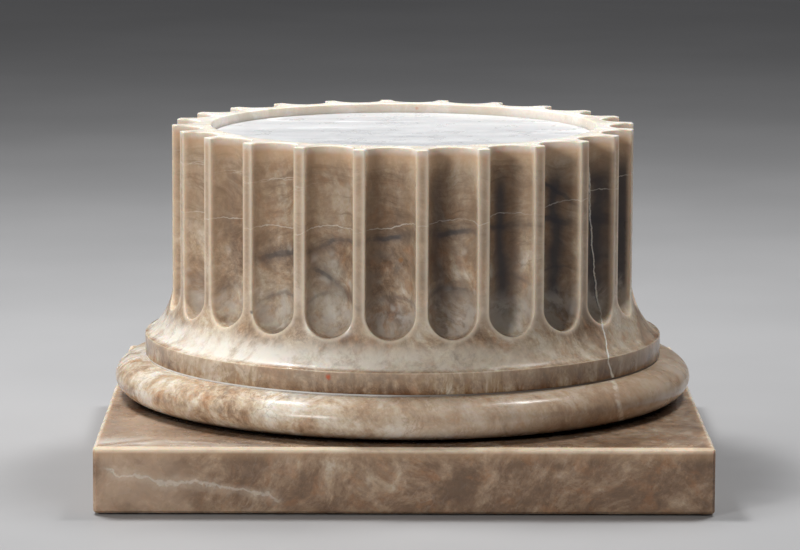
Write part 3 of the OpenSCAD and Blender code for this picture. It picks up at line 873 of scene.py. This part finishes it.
def lid_marble():
    """Cool grey-white marble: long soft grey drifts and a few white threads."""
    tree = Tree("lid_marble")
    warp = tree.vector("SUBTRACT", tree.noise(tree.place, 6, 3, 0.6, colour=True), (0.5, 0.5, 0.5))
    bent = tree.vector("ADD", tree.place, tree.scaled(warp, 0.06))
    drawn = tree.turned(bent, (0, 0, 14), (0.35, 2.2, 1.0))
    drift = tree.noise(drawn, 9, 4, 0.60, 0.2)
    colour = tree.ramp(drift, [(0.28, (0.38, 0.385, 0.40)), (0.44, (0.495, 0.50, 0.51)),
                               (0.58, (0.575, 0.58, 0.585)), (0.76, (0.67, 0.67, 0.675))])
    thread = tree.thread(tree.math("SUBTRACT", tree.noise(drawn, 4, 3, 0.5, 0.3), 0.5), 0.006)
    colour = tree.mix(tree.times(thread, 0.7), colour, (0.84, 0.84, 0.85))
    sugar = tree.noise(tree.place, 520, 2, 0.6)
    colour = tree.mix(tree.span(sugar, 0.4, 0.7, 0.0, 0.12), colour, (1.0, 1.0, 1.0))
    rough = tree.span(tree.noise(tree.place, 40, 3), 0.3, 0.7, 0.26, 0.38)
    normal = tree.bump(tree.noise(tree.place, 30, 2), 0.2 * MM, 0.2)
    return tree.set(Base_Color=colour, Roughness=rough, Normal=normal, IOR=1.5, Subsurface_Weight=0.3,
                    Subsurface_Radius=(1.0, 0.9, 0.85), Subsurface_Scale=6 * MM)


def brass(name, tint, worn, rough_low, rough_high, turned_marks=True):
    """Brass with a tarnish that gathers in patches, and fine marks left by turning."""
    tree = Tree(name)
    x, y, z = tree.axes()
    tarnish = tree.span(tree.noise(tree.place, 38, 5, 0.65), 0.42, 0.68)
    colour = tree.mix(tree.times(tarnish, 0.45), tint, worn)
    radius = tree.math("SQRT", tree.math("ADD", tree.times(x, x), tree.times(y, y)))
    ring = tree.add("ShaderNodeCombineXYZ", {0: radius, 1: 0.0, 2: z}).outputs[0]
    marks = tree.noise(ring, 1400 if turned_marks else 300, 3, 0.6)
    rough = tree.span(tree.math("MULTIPLY_ADD", tarnish, 0.5, tree.times(marks, 0.5)), 0.2, 0.8,
                      rough_low, rough_high)
    normal = tree.bump(marks, 0.03 * MM, 0.5)
    dents = tree.bump(tree.noise(tree.place, 45, 2), 0.25 * MM, 0.35, normal)
    return tree.set(Base_Color=colour, Metallic=1.0, Roughness=rough, Normal=dents)


def granular(name, dark, light, scale, rough, depth):
    """A matte material of fine grains: cork, mortar, rubber or nylon, by its colours and scale."""
    tree = Tree(name)
    cells = tree.add("ShaderNodeTexVoronoi", {"Vector": tree.place, "Scale": scale}).outputs["Distance"]
    dust = tree.noise(tree.place, scale * 1.7, 4, 0.65)
    level = tree.math("MULTIPLY_ADD", cells, 0.6, tree.times(dust, 0.6))
    colour = tree.ramp(level, [(0.25, dark), (0.75, light)])
    normal = tree.bump(level, depth, 0.6)
    rough_map = tree.span(dust, 0.3, 0.7, max(0.0, rough - 0.1), min(1.0, rough + 0.1))
    return tree.set(Base_Color=colour, Roughness=rough_map, Normal=normal)


def joint_putty():
    """White putty in the joint under the drum, with painted shade that darkens it towards the right."""
    tree = Tree("white_putty")
    x, _, _ = tree.axes()
    dust = tree.noise(tree.place, 850, 4, 0.65)
    colour = tree.ramp(dust, [(0.35, (0.93, 0.92, 0.90)), (0.65, (0.98, 0.98, 0.97))])
    # painted shade: darkens the putty towards the right
    patch = tree.math("MULTIPLY_ADD", tree.noise(tree.place, 18, 4, 0.6), 0.12, x)
    colour = tree.mix(tree.span(patch, -0.06, 0.14, 0.0, 0.9), colour, (0.150, 0.105, 0.072))
    return tree.set(Base_Color=colour, Roughness=0.7, Normal=tree.bump(dust, 0.15 * MM, 0.6))


def assign(piece, material):
    """Give every face of a piece one material."""
    piece.data.materials.clear()
    piece.data.materials.append(material)


# ---------------------------------------------------------------- the object

onyx_drum = onyx("onyx_drum", (8, 24, 0), (1.25, 1.25, 0.65), (0.31, 0.12, 0.4), 0.0, drum_details)
onyx_torus = onyx("onyx_torus", (20, 35, 0), (1.3, 0.9, 0.55), (1.7, 0.6, 0.2), 0.035, torus_details)
onyx_plinth = onyx("onyx_plinth", (0, 50, 10), (0.9, 1.4, 2.2), (2.9, 1.1, 0.7), -0.048, plinth_details)

assign(stand_in(make_drum(), "fluted_drum"), onyx_drum)
assign(stand_in(make_torus(), "torus_base"), onyx_torus)
assign(soften_cad("plinth", 1.3 * MM), onyx_plinth)
assign(soften_cad("lid", 0.7 * MM), lid_marble())

spun_brass = brass("spun_brass", (0.80, 0.60, 0.28), (0.42, 0.28, 0.12), 0.20, 0.38)
cast_brass = brass("cast_brass", (0.74, 0.55, 0.26), (0.36, 0.24, 0.11), 0.28, 0.48, False)
polished_brass = brass("polished_brass", (0.86, 0.67, 0.34), (0.55, 0.38, 0.17), 0.10, 0.24)
steel = brass("dowel_steel", (0.62, 0.61, 0.59), (0.40, 0.39, 0.38), 0.28, 0.45)
rubber = granular("black_rubber", (0.012, 0.012, 0.013), (0.035, 0.034, 0.033), 900, 0.62, 0.05 * MM)
cork = granular("cork", (0.10, 0.055, 0.025), (0.44, 0.27, 0.13), 420, 0.85, 0.3 * MM)
mortar = granular("mortar", (0.03, 0.026, 0.023), (0.13, 0.11, 0.09), 600, 0.9, 0.3 * MM)
nylon = granular("white_nylon", (0.70, 0.69, 0.65), (0.86, 0.85, 0.81), 700, 0.45, 0.03 * MM)

assign(stand_in(make_liner(), "bowl_liner"), spun_brass)
assign(stand_in(make_knob(), "stopper_knob", "stopper"), polished_brass)

FINISHES = {
    cork: ["corner_pads", "lid_cushion_ring"],
    mortar: ["lower_bed", "liner_bedding_ring"],
    joint_putty(): ["upper_bed"],
    steel: ["lower_dowels", "upper_dowels", "grate_screw", "stopper_stem"],
    cast_brass: ["drain_flange", "grate_crossbar", "strainer_grate", "drain_lock_nut", "slip_nut",
                 "tailpiece"],
    polished_brass: ["stopper_cap"],
    rubber: ["upper_drain_gasket", "lower_drain_gasket", "tailpiece_washer", "outlet_grommet",
             "stopper_seal"],
    nylon: ["friction_washer"],
}
for finish, nodes in FINISHES.items():
    for node in nodes:
        assign(soften_cad(node, 0.25 * MM, 2, 35), finish)


# ---------------------------------------------------------------- floor, light and camera

def make_floor():
    """A wide, plain, pale floor."""
    bpy.ops.mesh.primitive_circle_add(vertices=96, radius=30, fill_type="NGON", location=(0, 0, 0))
    floor = bpy.context.object
    floor.name = "floor"
    tree = Tree("pale_floor")
    shade = tree.span(tree.noise(tree.place, 1.4, 3), 0.3, 0.7, 0.0, 1.0)
    colour = tree.mix(shade, (0.36, 0.36, 0.365), (0.40, 0.40, 0.405))
    assign(floor, tree.set(Base_Color=colour, Roughness=0.55))


def soft_light(name, direction, distance, size, watts, colour=(1, 1, 1), aim=(0, 0, 0.2), gloss=True,
               diffuse=True):
    """A soft box that stands off in a direction and faces the object; it may light gloss or body only."""
    data = bpy.data.lights.new(name, "AREA")
    data.shape = "RECTANGLE"
    data.size, data.size_y = size
    data.energy = watts
    data.color = colour
    lamp = bpy.data.objects.new(name, data)
    lamp.visible_glossy = gloss
    lamp.visible_diffuse = diffuse
    lamp.location = Vector(aim) + Vector(direction).normalized() * distance
    lamp.rotation_euler = (Vector(aim) - lamp.location).to_track_quat("-Z", "Y").to_euler()
    bpy.context.scene.collection.objects.link(lamp)


def make_world(colour, strength):
    """Even grey light from all round."""
    world = bpy.data.worlds.new("studio")
    world.use_nodes = True
    world.node_tree.nodes["Background"].inputs[0].default_value = (*colour, 1)
    world.node_tree.nodes["Background"].inputs[1].default_value = strength
    bpy.context.scene.world = world


def make_camera():
    """A long lens, 4.2 m off and 8.4 degrees above the horizontal, with the plinth a hair off square."""
    data = bpy.data.cameras.new("camera")
    data.sensor_width = 36
    data.lens = 183.2
    camera = bpy.data.objects.new("camera", data)
    swing = math.radians(-0.356)
    away, beside, height = 4.2214, -0.0030, PLINTH_HIGH.z + 0.7502
    camera.location = (beside * math.cos(swing) + away * math.sin(swing),
                       beside * math.sin(swing) - away * math.cos(swing), height)
    look = Vector((-math.sin(swing), math.cos(swing), -math.tan(math.radians(8.412))))
    spin = look.to_track_quat("-Z", "Y")
    camera.rotation_euler = spin.to_euler()
    camera.rotation_euler.rotate_axis("Z", math.radians(0.213))
    bpy.context.scene.collection.objects.link(camera)
    bpy.context.scene.camera = camera


make_floor()
make_world((0.64, 0.64, 0.66), 0.19)
soft_light("top_left", (-0.38, 0.22, 0.90), 2.6, (0.70, 0.60), 70, gloss=False)
soft_light("glint_left", (-0.38, 0.22, 0.90), 2.6, (0.22, 0.14), 15, diffuse=False)
soft_light("top_right", (0.38, 0.29, 0.88), 2.6, (0.60, 0.60), 45, gloss=False)
soft_light("glint_right", (0.38, 0.29, 0.88), 2.6, (0.20, 0.14), 11, diffuse=False)
soft_light("key_front_left", (-0.56, -0.76, 0.32), 3.2, (0.70, 0.50), 38, (1.0, 0.98, 0.95))
bpy.context.scene.view_settings.view_transform = "Standard"
make_camera()
